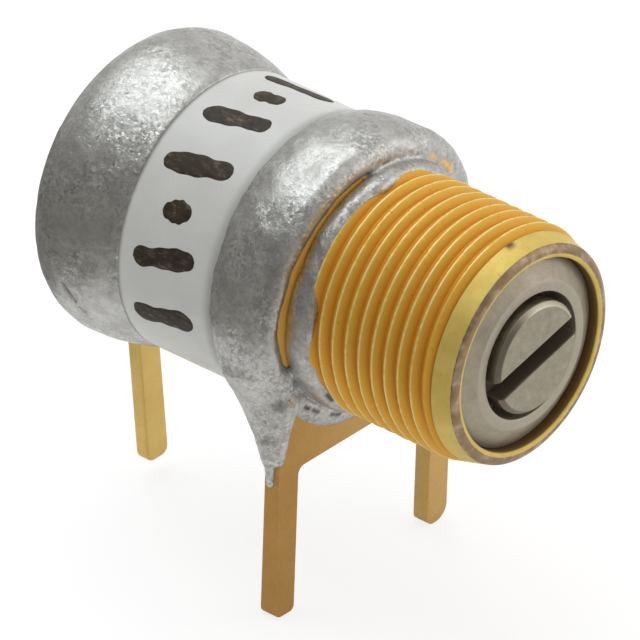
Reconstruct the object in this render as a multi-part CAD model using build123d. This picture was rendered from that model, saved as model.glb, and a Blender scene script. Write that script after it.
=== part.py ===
from build123d import *
from math import radians, tan
import os

# Air piston trimmer capacitor for a circuit board, adjusted from the side.
# Millimetres. +Z is up from the board, +X points out of the adjusting end.
# The origin is on the board seat, midway between the two front legs.

# Place on the board
axis_height = 4.05
row_spacing = 6.74

# Front terminal, a stamped lug with two legs
front_sheet = 0.44
front_leg_spacing = 5.40
front_leg_width = 0.68
front_leg_length = 3.96
front_leg_lean_deg = -2.2
front_eye_width = 0.38

# Rear terminal, a stamped lug with one leg
rear_sheet = 0.38
rear_leg_width = 0.74
rear_leg_length = 3.57
rear_leg_lean_deg = 5.0
rear_eye_width = 1.30

# Both terminals
leg_tip_radius = 0.24
leg_root_radius = 0.20

# Threaded bushing
thread_diameter = 5.944
thread_depth = 0.243
bushing_reach = 5.05
nose_length = 0.59
nose_base_step = 0.12
nose_taper = 0.12
rim_bevel_length = 0.09
rim_bevel_width = 0.13
flange_thickness = 0.70
flange_step = 0.16
spigot_length = 1.10
spigot_wall = 0.57
rim_land = 0.197
socket_depth = 1.67
web_thickness = 0.60
guide_wall = 0.529
keyway_depth = 0.21
keyway_width = 0.62

# Screw retainer
retainer_recess = 0.29
retainer_thickness = 0.50
head_hole_share = 0.66
retainer_lip_height = 0.29
retainer_lip_width = 0.30

# Adjusting screw
head_standout = 0.21
head_bevel = 0.10
driver_slot_width = 0.52
driver_slot_depth = 0.50
driver_slot_turn_deg = 13.7
shoulder_step = 0.405
shoulder_thickness = 0.45
lead_screw_share = 0.364
lead_pitch = 0.397
turns = 8
screw_tail = 0.20

# Spring washer and stop ring
washer_step = 0.10
washer_bore_gap = 0.15
washer_sheet = 0.14
stop_ring_thickness = 0.35

# Rotor and stator plate rings
ring_wall_share = 0.0818
ring_gap_share = 0.0545
disc_thickness = 0.80
hub_wall = 0.31
hub_front_length = 0.50
hub_rear_length = 1.10
hub_split_width = 0.20
hub_split_depth = 0.70

# Ceramic tube and the stator's seat in it
tube_wall = 0.68
tube_length = 4.50
stator_spigot_length = 0.80
boss_radius = 1.20
boss_standout = 0.12

# Front solder: dome, bead on the thread, open groove and runs down the legs
dome_height = 0.30
dome_crown_offset = 0.30
dome_crown_length = 0.43
dome_nose_radius = 0.50
dome_skirt_length = 1.50
bead_length = 0.86
bead_bulge = 0.06
groove_inner_step = 0.11
groove_width = 0.19
groove_draft = 0.05
groove_start_deg = 6.0
groove_sweep_deg = 102.0
run_tip_radius = 0.10
run_top_radius = 0.75
run_below_seat = 0.42
run_height = 2.82
run_inset = 0.54

# Rear solder
end_height = 0.36
end_skirt_length = 1.73
end_crown_offset = 0.43
end_nose_radius = 1.24

# Clearances
seat_gap = 0.01
lug_gap = 0.03
run_gap = 0.04
slide_gap = 0.05
thrust_gap = 0.02
head_gap = 0.18
mesh_gap = 0.20
floor_gap = 0.40
stop_gap = 0.08
overrun = 1.00

# Radii of the bushing and the tube about the centre line, worked out from the thread
thread_radius = thread_diameter / 2
root_radius = thread_radius - thread_depth
nose_base_radius = thread_radius - nose_base_step
nose_tip_radius = nose_base_radius - nose_taper
rim_edge_radius = nose_tip_radius - rim_bevel_width
socket_radius = rim_edge_radius - rim_land
guide_radius = root_radius - guide_wall
keyway_radius = guide_radius + keyway_depth
spigot_radius = guide_radius + spigot_wall
tube_bore_radius = spigot_radius + seat_gap
tube_radius = tube_bore_radius + tube_wall
flange_radius = tube_radius - flange_step

# Plate rings, counted inwards from the guide: each rotor ring is one gap inside a stator ring
ring_wall = guide_radius * ring_wall_share
ring_gap = guide_radius * ring_gap_share
rotor_outer_radius = guide_radius - slide_gap
plate_step = ring_wall + ring_gap
stator_outer_radius = rotor_outer_radius + plate_step
stator_inner_radius = rotor_outer_radius - plate_step
rotor_inner_radius = stator_inner_radius - plate_step

# Radii of the screw and what is round it
lead_radius = guide_radius * lead_screw_share
hub_bore_radius = lead_radius + run_gap
hub_radius = hub_bore_radius + hub_wall
web_hole_radius = lead_radius + run_gap
retainer_radius = socket_radius - seat_gap
head_hole_radius = retainer_radius * head_hole_share
head_radius = head_hole_radius - head_gap
retainer_lip_radius = head_hole_radius + retainer_lip_width
shoulder_radius = socket_radius - shoulder_step
washer_radius = shoulder_radius - washer_step
washer_bore_radius = lead_radius + washer_bore_gap

# Radii of the terminals
front_hole_radius = thread_radius + lug_gap
front_eye_radius = front_hole_radius + front_eye_width
rear_hole_radius = boss_radius + seat_gap
rear_eye_radius = rear_hole_radius + rear_eye_width

# Places along the centre line
front_face_x = front_sheet / 2
rim_x = front_face_x + bushing_reach
nose_x = rim_x - nose_length
bead_end_x = front_face_x + bead_length
flange_front_x = -front_face_x
flange_rear_x = flange_front_x - flange_thickness
spigot_rear_x = flange_rear_x - spigot_length
web_front_x = rim_x - socket_depth
web_rear_x = web_front_x - web_thickness
retainer_face_x = rim_x - retainer_recess
retainer_rear_x = retainer_face_x - retainer_thickness
shoulder_front_x = retainer_rear_x - thrust_gap
shoulder_rear_x = shoulder_front_x - shoulder_thickness
head_face_x = rim_x + head_standout
tube_front_x = flange_rear_x
tube_rear_x = tube_front_x - tube_length
rear_mid_x = -row_spacing
stator_rear_x = rear_mid_x + rear_sheet / 2
boss_rear_x = rear_mid_x - rear_sheet / 2 - boss_standout
stator_tip_x = spigot_rear_x - mesh_gap
travel = turns * lead_pitch
disc_rear_in_x = spigot_rear_x
rotor_ring_length = disc_rear_in_x - tube_rear_x - floor_gap
disc_rear_x = disc_rear_in_x + travel / 2
disc_front_x = disc_rear_x + disc_thickness
hub_front_x = disc_front_x + hub_front_length
hub_rear_x = disc_rear_x - hub_rear_length
rotor_tip_x = disc_rear_x - rotor_ring_length
stop_front_x = disc_rear_in_x - hub_rear_length - stop_gap
stop_rear_x = stop_front_x - stop_ring_thickness
screw_tip_x = stop_rear_x - screw_tail

centre = (0, 0, axis_height)
centre_line = Axis(centre, (1, 0, 0))
turning_plane = Plane(origin=centre, x_dir=(1, 0, 0), z_dir=(0, -1, 0))


def spun(outline, sweep_deg=360):
    """Turn a closed outline, drawn as (place along X, radius), about the centre line."""
    return revolve(turning_plane * make_face(outline), centre_line, sweep_deg)


def turned(*corners):
    """Turn a straight-sided section about the centre line."""
    return spun(Polyline(*corners, close=True))


def turned_ring(rear_x, front_x, inner_radius, outer_radius):
    """Plain ring about the centre line."""
    return turned(
        (rear_x, inner_radius),
        (front_x, inner_radius),
        (front_x, outer_radius),
        (rear_x, outer_radius),
    )


def turned_rod(rear_x, front_x, radius):
    """Plain rod on the centre line."""
    return turned_ring(rear_x, front_x, 0, radius)


def bar_across(rear_x, front_x, length, width):
    """Block through the centre line, long in Y, for keys, keyways and saw cuts."""
    middle_x = (rear_x + front_x) / 2
    return Pos(middle_x, 0, axis_height) * Box(front_x - rear_x, length, width)


def leg_outline(width, length):
    """One leg as seen from the front, hanging from the board seat, with its tip corners rounded."""
    blank = Rectangle(width, length + width, align=(Align.CENTER, Align.MIN))
    tip_corners = blank.vertices().sort_by(Axis.Y)[:2]
    return Pos(0, -length) * fillet(tip_corners, leg_tip_radius)


def stamped_lug(outline, sheet, middle_x, leg_length, lean_deg):
    """Lug of flat sheet whose legs lean from the board seat down."""
    half = sheet / 2
    foot_x = leg_length * tan(radians(lean_deg))
    top_z = axis_height + tube_radius
    bent_sheet = Polyline(
        (-half, top_z),
        (-half, 0),
        (foot_x - half, -leg_length),
        (foot_x + half, -leg_length),
        (half, 0),
        (half, top_z),
        close=True,
    )
    reach = front_leg_spacing + overrun
    strip = extrude(Plane.XZ * make_face(bent_sheet), reach, both=True)
    punch = extrude(Plane.YZ * outline, leg_length, both=True)
    return Pos(middle_x, 0, 0) * (strip & punch)


def front_lug_outline():
    """Round eye, board edge between the legs and two legs, as seen from the front."""
    outer_half = (front_leg_spacing + front_leg_width) / 2
    eye = Pos(0, axis_height) * Circle(front_eye_radius)
    skirt = Rectangle(2 * outer_half, axis_height, align=(Align.CENTER, Align.MIN))
    shape = eye + skirt
    for side in (-1, 1):
        shape += Pos(side * front_leg_spacing / 2, 0) * leg_outline(front_leg_width, front_leg_length)
    roots = [v for v in shape.vertices() if abs(v.Y) < seat_gap and abs(v.X) < outer_half - seat_gap]
    return fillet(roots, leg_root_radius)


def rear_lug_outline():
    """Round eye with one leg, as seen from the front."""
    eye = Pos(0, axis_height) * Circle(rear_eye_radius)
    stem = Rectangle(rear_leg_width, axis_height, align=(Align.CENTER, Align.MIN))
    return eye + stem + leg_outline(rear_leg_width, rear_leg_length)


def front_terminal():
    hole = Pos(0, axis_height) * Circle(front_hole_radius)
    outline = front_lug_outline() - hole
    return stamped_lug(outline, front_sheet, 0, front_leg_length, front_leg_lean_deg)


def rear_terminal_blank():
    """Rear lug before its hole is punched."""
    return stamped_lug(rear_lug_outline(), rear_sheet, rear_mid_x, rear_leg_length, rear_leg_lean_deg)


def rear_terminal():
    hole = turned_rod(rear_mid_x - rear_sheet, rear_mid_x + rear_sheet, rear_hole_radius)
    return rear_terminal_blank() - hole


def threaded_bushing():
    """Barrel with its thread at full diameter, a neck under the solder, flange, spigot and keyed guide."""
    body = turned(
        (rim_x, socket_radius),
        (rim_x, rim_edge_radius),
        (rim_x - rim_bevel_length, nose_tip_radius),
        (nose_x, nose_base_radius),
        (nose_x, thread_radius),
        (bead_end_x, thread_radius),
        (bead_end_x, root_radius),
        (flange_front_x, root_radius),
        (flange_front_x, flange_radius),
        (flange_rear_x, flange_radius),
        (flange_rear_x, spigot_radius),
        (spigot_rear_x, spigot_radius),
        (spigot_rear_x, guide_radius),
        (web_rear_x, guide_radius),
        (web_rear_x, web_hole_radius),
        (web_front_x, web_hole_radius),
        (web_front_x, socket_radius),
    )
    broach = turned_ring(spigot_rear_x, web_rear_x, guide_radius - slide_gap, keyway_radius)
    keyways = broach & bar_across(spigot_rear_x, web_rear_x, 2 * tube_radius, keyway_width)
    return body - keyways


def screw_retainer():
    """Ring in the bushing's mouth; its face slopes up to a lip, level with the rim, round the screw."""
    lip_x = retainer_face_x + retainer_lip_height
    return turned(
        (retainer_rear_x, head_hole_radius),
        (lip_x, head_hole_radius),
        (lip_x, retainer_lip_radius),
        (retainer_face_x, retainer_radius),
        (retainer_rear_x, retainer_radius),
    )


def adjusting_screw():
    """Slotted head, thrust shoulder and lead screw, with its thread at full diameter."""
    blank = turned(
        (screw_tip_x, 0),
        (screw_tip_x, lead_radius),
        (shoulder_rear_x, lead_radius),
        (shoulder_rear_x, shoulder_radius),
        (shoulder_front_x, shoulder_radius),
        (shoulder_front_x, head_radius),
        (head_face_x - head_bevel, head_radius),
        (head_face_x, head_radius - head_bevel),
        (head_face_x, 0),
    )
    saw = bar_across(
        head_face_x - driver_slot_depth, head_face_x + overrun, 2 * head_radius + overrun, driver_slot_width
    )
    return blank - saw.rotate(centre_line, driver_slot_turn_deg)


def spring_washer():
    """Washer rolled to a bow that fills the room between the web and the shoulder."""
    room = shoulder_rear_x - web_front_x - thrust_gap
    rise = room - washer_sheet
    inner_bend = (washer_radius**2 - rise**2) / (2 * rise)
    outer_bend = inner_bend + washer_sheet
    crown_x = web_front_x + room
    roller = Pos(crown_x - outer_bend, 0, axis_height)
    rolled = roller * (Cylinder(outer_bend, 2 * washer_radius) - Cylinder(inner_bend, 2 * washer_radius))
    return rolled & turned_ring(web_front_x, crown_x, washer_bore_radius, washer_radius)


def stop_ring():
    return turned_ring(stop_rear_x, stop_front_x, lead_radius + seat_gap, hub_radius)


def rotor():
    """Disc with keys, split hub on the lead screw and two plate rings that face the stator."""
    outer_bore = rotor_outer_radius - ring_wall
    inner_bore = rotor_inner_radius - ring_wall
    body = turned(
        (hub_front_x, hub_bore_radius),
        (hub_front_x, hub_radius),
        (disc_front_x, hub_radius),
        (disc_front_x, rotor_outer_radius),
        (rotor_tip_x, rotor_outer_radius),
        (rotor_tip_x, outer_bore),
        (disc_rear_x, outer_bore),
        (disc_rear_x, rotor_inner_radius),
        (rotor_tip_x, rotor_inner_radius),
        (rotor_tip_x, inner_bore),
        (disc_rear_x, inner_bore),
        (disc_rear_x, hub_radius),
        (hub_rear_x, hub_radius),
        (hub_rear_x, hub_bore_radius),
    )
    key_band = turned_ring(disc_rear_x, disc_front_x, outer_bore, keyway_radius - slide_gap)
    keys = key_band & bar_across(disc_rear_x, disc_front_x, 2 * tube_radius, keyway_width - 2 * slide_gap)
    saw = bar_across(
        hub_rear_x - hub_split_depth, hub_rear_x + hub_split_depth, hub_radius + inner_bore, hub_split_width
    )
    return body + keys - saw


def ceramic_tube():
    return turned_ring(tube_rear_x, tube_front_x, tube_bore_radius, tube_radius)


def stator():
    """Rear closure of the tube with a boss for the rear terminal and two plate rings."""
    return turned(
        (boss_rear_x, 0),
        (boss_rear_x, boss_radius),
        (stator_rear_x, boss_radius),
        (stator_rear_x, flange_radius),
        (tube_rear_x, flange_radius),
        (tube_rear_x, spigot_radius),
        (tube_rear_x + stator_spigot_length, spigot_radius),
        (tube_rear_x + stator_spigot_length, stator_outer_radius),
        (stator_tip_x, stator_outer_radius),
        (stator_tip_x, stator_outer_radius - ring_wall),
        (tube_rear_x, stator_outer_radius - ring_wall),
        (tube_rear_x, stator_inner_radius),
        (stator_tip_x, stator_inner_radius),
        (stator_tip_x, stator_inner_radius - ring_wall),
        (tube_rear_x, stator_inner_radius - ring_wall),
        (tube_rear_x, 0),
    )


def front_dome():
    """Solder dome from the ceramic over the edge of the front terminal, and the bead on the neck."""
    dome_radius = tube_radius + dome_height
    crown_x = flange_front_x - dome_crown_offset
    shoulder_x = crown_x + dome_crown_length
    nose_x_end = shoulder_x + dome_nose_radius
    nose_radius_end = dome_radius - dome_nose_radius
    skirt_x = crown_x - dome_skirt_length
    bead_middle = (
        (nose_x_end + bead_end_x) / 2,
        (nose_radius_end + thread_radius) / 2 + bead_bulge,
    )
    outline = (
        Line((skirt_x, root_radius), (skirt_x, tube_radius))
        + TangentArc((crown_x, dome_radius), (skirt_x, tube_radius), tangent=(-1, 0))
        + Line((crown_x, dome_radius), (shoulder_x, dome_radius))
        + TangentArc((shoulder_x, dome_radius), (nose_x_end, nose_radius_end), tangent=(1, 0))
        + ThreePointArc((nose_x_end, nose_radius_end), bead_middle, (bead_end_x, thread_radius))
        + Line((bead_end_x, thread_radius), (bead_end_x, root_radius))
        + Line((bead_end_x, root_radius), (skirt_x, root_radius))
    )
    return spun(outline)


def leg_run(side):
    """Solder drawn down the outer edge of one front leg, as a cone that leans into the dome."""
    tip_y = side * (front_leg_spacing + front_leg_width) / 2
    tip = (0, tip_y, -run_below_seat)
    towards = Vector(0, -side * run_inset, run_height)
    cone = Cone(run_tip_radius, run_top_radius, towards.length, align=(Align.CENTER, Align.CENTER, Align.MIN))
    return Plane(origin=tip, x_dir=(1, 0, 0), z_dir=towards) * cone


def front_solder():
    """Dome and runs, less what they are soldered to and the groove where the terminal still shows."""
    groove_inner_radius = thread_radius + groove_inner_step
    groove_outer_radius = groove_inner_radius + groove_width
    groove_section = Polyline(
        (front_face_x, groove_inner_radius),
        (bead_end_x, groove_inner_radius - groove_draft),
        (bead_end_x, groove_outer_radius + groove_draft),
        (front_face_x, groove_outer_radius),
        close=True,
    )
    groove = spun(groove_section, groove_sweep_deg).rotate(centre_line, groove_start_deg)
    mass = front_dome() + leg_run(-1) + leg_run(1)
    flange_rod = turned_rod(flange_rear_x, flange_front_x, flange_radius)
    tube_rod = turned_rod(tube_rear_x, tube_front_x, tube_radius)
    neck_rod = turned_rod(flange_front_x, rim_x, root_radius)
    return mass - flange_rod - tube_rod - neck_rod - front_terminal() - groove


def rear_solder():
    """Rounded solder end over the ceramic's rim, the stator and the eye of the rear terminal."""
    end_radius = tube_radius + end_height
    crown_x = stator_rear_x + end_crown_offset
    skirt_x = crown_x + end_skirt_length
    back_x = crown_x - end_nose_radius
    back_radius = end_radius - end_nose_radius
    outline = (
        Line((skirt_x, 0), (skirt_x, tube_radius))
        + TangentArc((crown_x, end_radius), (skirt_x, tube_radius), tangent=(1, 0))
        + TangentArc((crown_x, end_radius), (back_x, back_radius), tangent=(-1, 0))
        + Line((back_x, back_radius), (back_x, 0))
        + Line((back_x, 0), (skirt_x, 0))
    )
    tube_rod = turned_rod(tube_rear_x, tube_front_x, tube_radius)
    flange_rod = turned_rod(stator_rear_x, tube_rear_x, flange_radius)
    boss_rod = turned_rod(boss_rear_x, stator_rear_x, boss_radius)
    return spun(outline) - tube_rod - flange_rod - boss_rod - rear_terminal_blank()


pieces = {
    "front_terminal": front_terminal(),
    "rear_terminal": rear_terminal(),
    "threaded_bushing": threaded_bushing(),
    "screw_retainer": screw_retainer(),
    "adjusting_screw": adjusting_screw(),
    "spring_washer": spring_washer(),
    "stop_ring": stop_ring(),
    "rotor": rotor(),
    "ceramic_tube": ceramic_tube(),
    "stator": stator(),
    "front_solder": front_solder(),
    "rear_solder": rear_solder(),
}

os.makedirs("parts", exist_ok=True)
for node, solid in pieces.items():
    export_step(solid, f"parts/{node}.step")
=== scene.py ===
import bmesh
import bpy
import numpy as np
from mathutils import Matrix


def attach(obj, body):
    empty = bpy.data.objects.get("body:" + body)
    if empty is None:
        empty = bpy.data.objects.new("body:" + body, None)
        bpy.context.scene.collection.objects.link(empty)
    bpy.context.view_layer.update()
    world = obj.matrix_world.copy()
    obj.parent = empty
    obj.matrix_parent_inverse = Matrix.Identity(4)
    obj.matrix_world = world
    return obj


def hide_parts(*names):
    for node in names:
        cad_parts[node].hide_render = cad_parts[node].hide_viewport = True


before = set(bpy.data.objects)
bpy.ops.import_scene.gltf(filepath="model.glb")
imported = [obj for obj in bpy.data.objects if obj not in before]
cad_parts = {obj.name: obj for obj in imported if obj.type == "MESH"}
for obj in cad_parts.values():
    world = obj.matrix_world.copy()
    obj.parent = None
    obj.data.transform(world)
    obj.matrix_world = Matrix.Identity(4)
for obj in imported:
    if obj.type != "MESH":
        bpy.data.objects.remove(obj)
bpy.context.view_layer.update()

# THREADED BUSHING
# A brass barrel turned in one piece and gold plated: fine 60 degree thread, plain nose with a
# worn rim, and inside it the socket, the web for the screw and the guide for the piston.

mm = 0.001
axis_height = 4.05
pitch = 0.397
thread_radius = 2.972
thread_depth = 0.165
root_radius = thread_radius - thread_depth


def band(low, high, value):
    """Smooth step: 0 below low, 1 above high and 3t^2 - 2t^3 between them."""
    t = np.clip((value - low) / (high - low), 0, 1)
    return t * t * (3 - 2 * t)


def lumps(points, size, seed):
    """Smooth noise from -1 to 1: random numbers on a lattice of this size, blended between corners."""
    place = points / size + 17.31 * seed
    cell = np.floor(place).astype(np.int64)
    share = place - cell
    share = share**3 * (share * (share * 6 - 15) + 10)
    total = np.zeros(points.shape[:-1])
    for corner in np.ndindex(2, 2, 2):
        q = cell + np.array(corner)
        drawn = (q[..., 0] * 73856093) ^ (q[..., 1] * 19349663) ^ (q[..., 2] * 83492791)
        drawn = (drawn & 0x7FFFFFFF) * 1103515245 + 12345 & 0x7FFFFFFF
        drawn = (drawn ^ drawn >> 13) * 1274126177 & 0x7FFFFFFF
        weight = np.prod(np.where(corner, share, 1 - share), -1)
        total += weight * (drawn / 0x3FFFFFFF - 1)
    return total


def on_axis(x, radius, turn):
    """Points at a place along X, a distance from the centre line and a turn from +Y towards +Z."""
    x, radius, turn = np.broadcast_arrays(x, radius, turn)
    return np.stack([x, radius * np.cos(turn), axis_height + radius * np.sin(turn)], -1)


def grid_faces(rows, columns, close_rows=False, close_columns=True):
    """Corner numbers of a grid's faces; a closed side joins its last line to its first."""
    i = np.arange(rows if close_rows else rows - 1)[:, None]
    j = np.arange(columns if close_columns else columns - 1)[None, :]
    i_next, j_next = (i + 1) % rows, (j + 1) % columns
    corners = [i * columns + j, i * columns + j_next, i_next * columns + j_next, i_next * columns + j]
    return np.stack(np.broadcast_arrays(*corners), -1).reshape(-1, 4)


def piece_of(name, shells, sharp_deg=35, **attributes):
    """Object at the origin from shells of (points in millimetres, faces), with each attribute's values
    shell by shell; poles are merged and faces turned outwards."""
    points, faces, first = [], [], 0
    for shell_points, shell_faces in shells:
        flat = shell_points.reshape(-1, 3)
        points.append(flat)
        faces.append(shell_faces + first)
        first += len(flat)
    points, faces = np.concatenate(points), np.concatenate(faces)
    mesh = bpy.data.meshes.new(name)
    mesh.vertices.add(len(points))
    mesh.vertices.foreach_set("co", (points * mm).ravel())
    mesh.loops.add(faces.size)
    mesh.loops.foreach_set("vertex_index", faces.astype(np.int32).ravel())
    mesh.polygons.add(len(faces))
    mesh.polygons.foreach_set("loop_start", np.arange(0, faces.size, faces.shape[1], dtype=np.int32))
    for key, values in attributes.items():
        layer = mesh.attributes.new(key, "FLOAT", "POINT")
        shares = np.concatenate([np.ravel(v) for v in values]).astype(np.float32)
        layer.data.foreach_set("value", shares)
    mesh.update(calc_edges=True)
    work = bmesh.new()
    work.from_mesh(mesh)
    bmesh.ops.remove_doubles(work, verts=work.verts, dist=1e-8)
    bmesh.ops.dissolve_degenerate(work, edges=work.edges, dist=1e-9)
    bmesh.ops.recalc_face_normals(work, faces=work.faces)
    work.to_mesh(mesh)
    work.free()
    mesh.shade_smooth()
    mesh.set_sharp_from_angle(angle=np.radians(sharp_deg))
    piece = bpy.data.objects.new(name, mesh)
    bpy.context.scene.collection.objects.link(piece)
    return piece


def turned(profile, columns, close=True):
    """Surface of revolution: each (place along X, radius) goes once round the centre line."""
    profile = np.array(profile, float)
    turn = np.linspace(0, 2 * np.pi, columns, endpoint=False)
    points = on_axis(profile[:, :1], profile[:, 1:2], turn[None, :])
    return points, grid_faces(len(profile), columns, close_rows=close)


def ridge(start_turns, end_turns, columns):
    """Thread ridge: a closed V section carried along a right-hand helix, so X grows one pitch a turn.

    A cone at the nose cuts the section back, both ends sink into the core, and waves and noise leave
    the crest a little ragged.
    """
    flank = np.array([0.030, 0.046, 0.062, 0.082, 0.25, 0.44, 0.458, 0.475])
    drop_to = np.array([0, 0.014, 0.05, 0.10, 0.47, 0.92, 0.985, 1.05])
    across = np.concatenate([-flank[::-1], flank, [0]])
    depth = np.concatenate([drop_to[::-1], drop_to, [1.3]])
    turns = np.linspace(start_turns, end_turns, int(columns * (end_turns - start_turns)))[:, None]
    turn = 2 * np.pi * turns
    x = pitch * (turns + across)
    ragged = 0.005 * np.sin(9.7 * turns) + 0.004 * np.sin(31.3 * turns + 1)
    ragged = ragged + 0.011 * lumps(on_axis(x, thread_radius, turn), 0.085, 8)
    radius = thread_radius - thread_depth * depth - np.where(depth < 0.1, np.abs(ragged), 0)
    nose_cone = 2.975 - 1.1 * np.clip(x - 4.50, 0, None)
    radius = np.minimum(radius, nose_cone)
    fade = band(start_turns, start_turns + 0.1, turns) * band(end_turns, end_turns - 0.06, turns)
    sunk = root_radius - 0.06
    radius = sunk + (radius - sunk) * fade
    points = on_axis(x, radius, turn)
    return points, grid_faces(*points.shape[:2]), (thread_radius - radius) / thread_depth


# Place along X, radius, share of wear, share of shade and share of the thread's colour.
barrel = np.array([
    (-2.02, 2.20, 0, 1, 0), (-2.02, 2.77, 0, 1, 0), (-0.92, 2.77, 0, 1, 0), (-0.92, 3.30, 0, 1, 0),
    (-0.22, 3.30, 0, 1, 0), (-0.22, 2.966, 0, 0.2, 1), (0.20, 2.966, 0, 0.2, 1),
    (0.66, 2.966, 0, 0.2, 1), (0.72, 2.807, 0, 1, 1), (2.6, 2.807, 0, 1, 1), (4.60, 2.807, 0, 1, 1),
    (4.655, 2.807, 0, 0.9, 0), (4.672, 2.825, 0, 0.5, 0), (4.686, 2.842, 0, 0, 0),
    (4.706, 2.852, 0, 0, 0), (4.75, 2.842, 0, 0, 0), (4.90, 2.806, 0, 0, 0), (5.05, 2.767, 0, 0, 0),
    (5.15, 2.742, 0, 0, 0), (5.176, 2.734, 0.3, 0, 0), (5.188, 2.724, 0.9, 0, 0),
    (5.21, 2.698, 1, 0, 0), (5.24, 2.652, 1, 0, 0), (5.258, 2.618, 1, 0, 0), (5.268, 2.585, 1, 0, 0),
    (5.27, 2.555, 1, 0, 0), (5.27, 2.525, 0.7, 0, 0), (5.269, 2.490, 0, 0, 0),
    (5.262, 2.456, 0, 0, 0), (5.25, 2.430, 0, 0, 0), (5.235, 2.412, 0, 0.2, 0),
    (5.215, 2.405, 0, 0.8, 0), (5.10, 2.405, 0, 1, 0), (4.40, 2.405, 0, 1, 0), (3.60, 2.405, 0, 1, 0),
    (3.60, 0.84, 0, 1, 0), (3.00, 0.84, 0, 1, 0), (3.00, 2.20, 0, 1, 0),
])
barrel_columns = 360
barrel_x = barrel[:, :1]
barrel_deg = np.linspace(0, 360, barrel_columns, endpoint=False)[None, :]
rubbed = 0.75 + 0.25 * band(28, 62, barrel_deg) * band(275, 235, barrel_deg)
# Painted shade of a small nick where the thread runs out by the collar: only a dark patch in the depth
# attribute, no notch is cut.
nick_shade_deg, nick_shade_width = 93, 2.2
nick_shade = 1.6 * np.exp(-((barrel_deg - nick_shade_deg) / nick_shade_width) ** 2)
nick_shade = nick_shade * ((barrel_x > 4.5) & (barrel_x < 4.76))
ridge_points, ridge_faces, ridge_depth = ridge(start_turns=1.45, end_turns=11.86, columns=300)
bushing = piece_of(
    "bushing",
    [turned(barrel[:, :2], barrel_columns), (ridge_points, ridge_faces)],
    worn=[barrel[:, 2:3] * rubbed, np.zeros(ridge_depth.size)],
    depth=[np.clip(barrel[:, 3:4] + nick_shade, 0, 1), np.clip(ridge_depth, 0, 1)],
    thread=[np.repeat(barrel[:, 4], barrel_columns), np.ones(ridge_depth.size)],
)


def new_material(name):
    """Material with its node tree and its shader."""
    material = bpy.data.materials.new(name)
    material.use_nodes = True
    return material, material.node_tree, material.node_tree.nodes["Principled BSDF"]


def node(tree, kind, inputs=None, **settings):
    """New shader node; inputs maps a socket's name or number to its value or to the socket it takes."""
    made = tree.nodes.new(kind)
    for key, value in settings.items():
        setattr(made, key, value)
    for key, value in (inputs or {}).items():
        if isinstance(value, bpy.types.NodeSocket):
            tree.links.new(value, made.inputs[key])
        else:
            made.inputs[key].default_value = value
    return made


def maths(tree, operation, *values):
    """Numbers joined by an operation; each is a number or a socket."""
    return node(tree, "ShaderNodeMath", dict(enumerate(values)), operation=operation).outputs["Value"]


def grain(tree, size_mm, detail=2.0, roughness=0.5, stretch=None):
    """Noise on Object coordinates with grains of this size, drawn out where a stretch is given."""
    place = node(tree, "ShaderNodeTexCoord").outputs["Object"]
    if stretch:
        place = node(tree, "ShaderNodeMapping", {"Vector": place, "Scale": stretch}).outputs["Vector"]
    made = node(tree, "ShaderNodeTexNoise", {
        "Vector": place, "Scale": 1 / (size_mm * mm), "Detail": detail, "Roughness": roughness,
    })
    return made.outputs["Fac"]


def ramp(tree, factor, *stops):
    """Colours blended along a factor; each stop is (place, colour), a number standing for a grey."""
    made = node(tree, "ShaderNodeValToRGB", {"Fac": factor})
    elements = made.color_ramp.elements
    while len(elements) < len(stops):
        elements.new(0.5)
    for element, (place, colour) in zip(elements, stops):
        element.position = place
        element.color = (*colour, 1) if isinstance(colour, tuple) else (colour, colour, colour, 1)
    return made.outputs["Color"]


def mixed(tree, factor, first, second, blend="MIX"):
    """First colour turned into the second by a factor; each is a colour or a socket."""
    made = node(tree, "ShaderNodeMix", data_type="RGBA", blend_type=blend)
    for place, value in ((0, factor), (6, first), (7, second)):
        if isinstance(value, bpy.types.NodeSocket):
            tree.links.new(value, made.inputs[place])
        else:
            made.inputs[place].default_value = (*value, 1) if isinstance(value, tuple) else value
    return made.outputs[2]


def measured(tree, name):
    """A mesh attribute as a number."""
    return node(tree, "ShaderNodeAttribute", attribute_name=name).outputs["Fac"]


def bumped(tree, shader, *layers):
    """Bump from layers of (height socket, depth in millimetres), each on top of the last."""
    normal = None
    for height, depth_mm in layers:
        inputs = {"Height": height, "Strength": 1.0, "Distance": depth_mm * mm}
        if normal:
            inputs["Normal"] = normal
        normal = node(tree, "ShaderNodeBump", inputs).outputs["Normal"]
    tree.links.new(normal, shader.inputs["Normal"])


gold_plate, tree, shader = new_material("gold_plate")
# Painted highlight and painted shade on the thread: pale on the crests, deepening to dark orange
# towards the roots, set by the depth attribute.
thread_light_and_shade = ramp(tree, measured(tree, "depth"), (0.0, (0.95, 0.80, 0.37)), (0.04, (0.91, 0.68, 0.20)),
                   (0.12, (0.80, 0.465, 0.066)), (0.6, (0.76, 0.38, 0.030)), (1.0, (0.70, 0.30, 0.014)))
clouds = ramp(tree, grain(tree, 0.5), (0.35, 0), (0.65, 1))
nose = mixed(tree, clouds, (0.70, 0.505, 0.115), (0.78, 0.58, 0.15))
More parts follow.
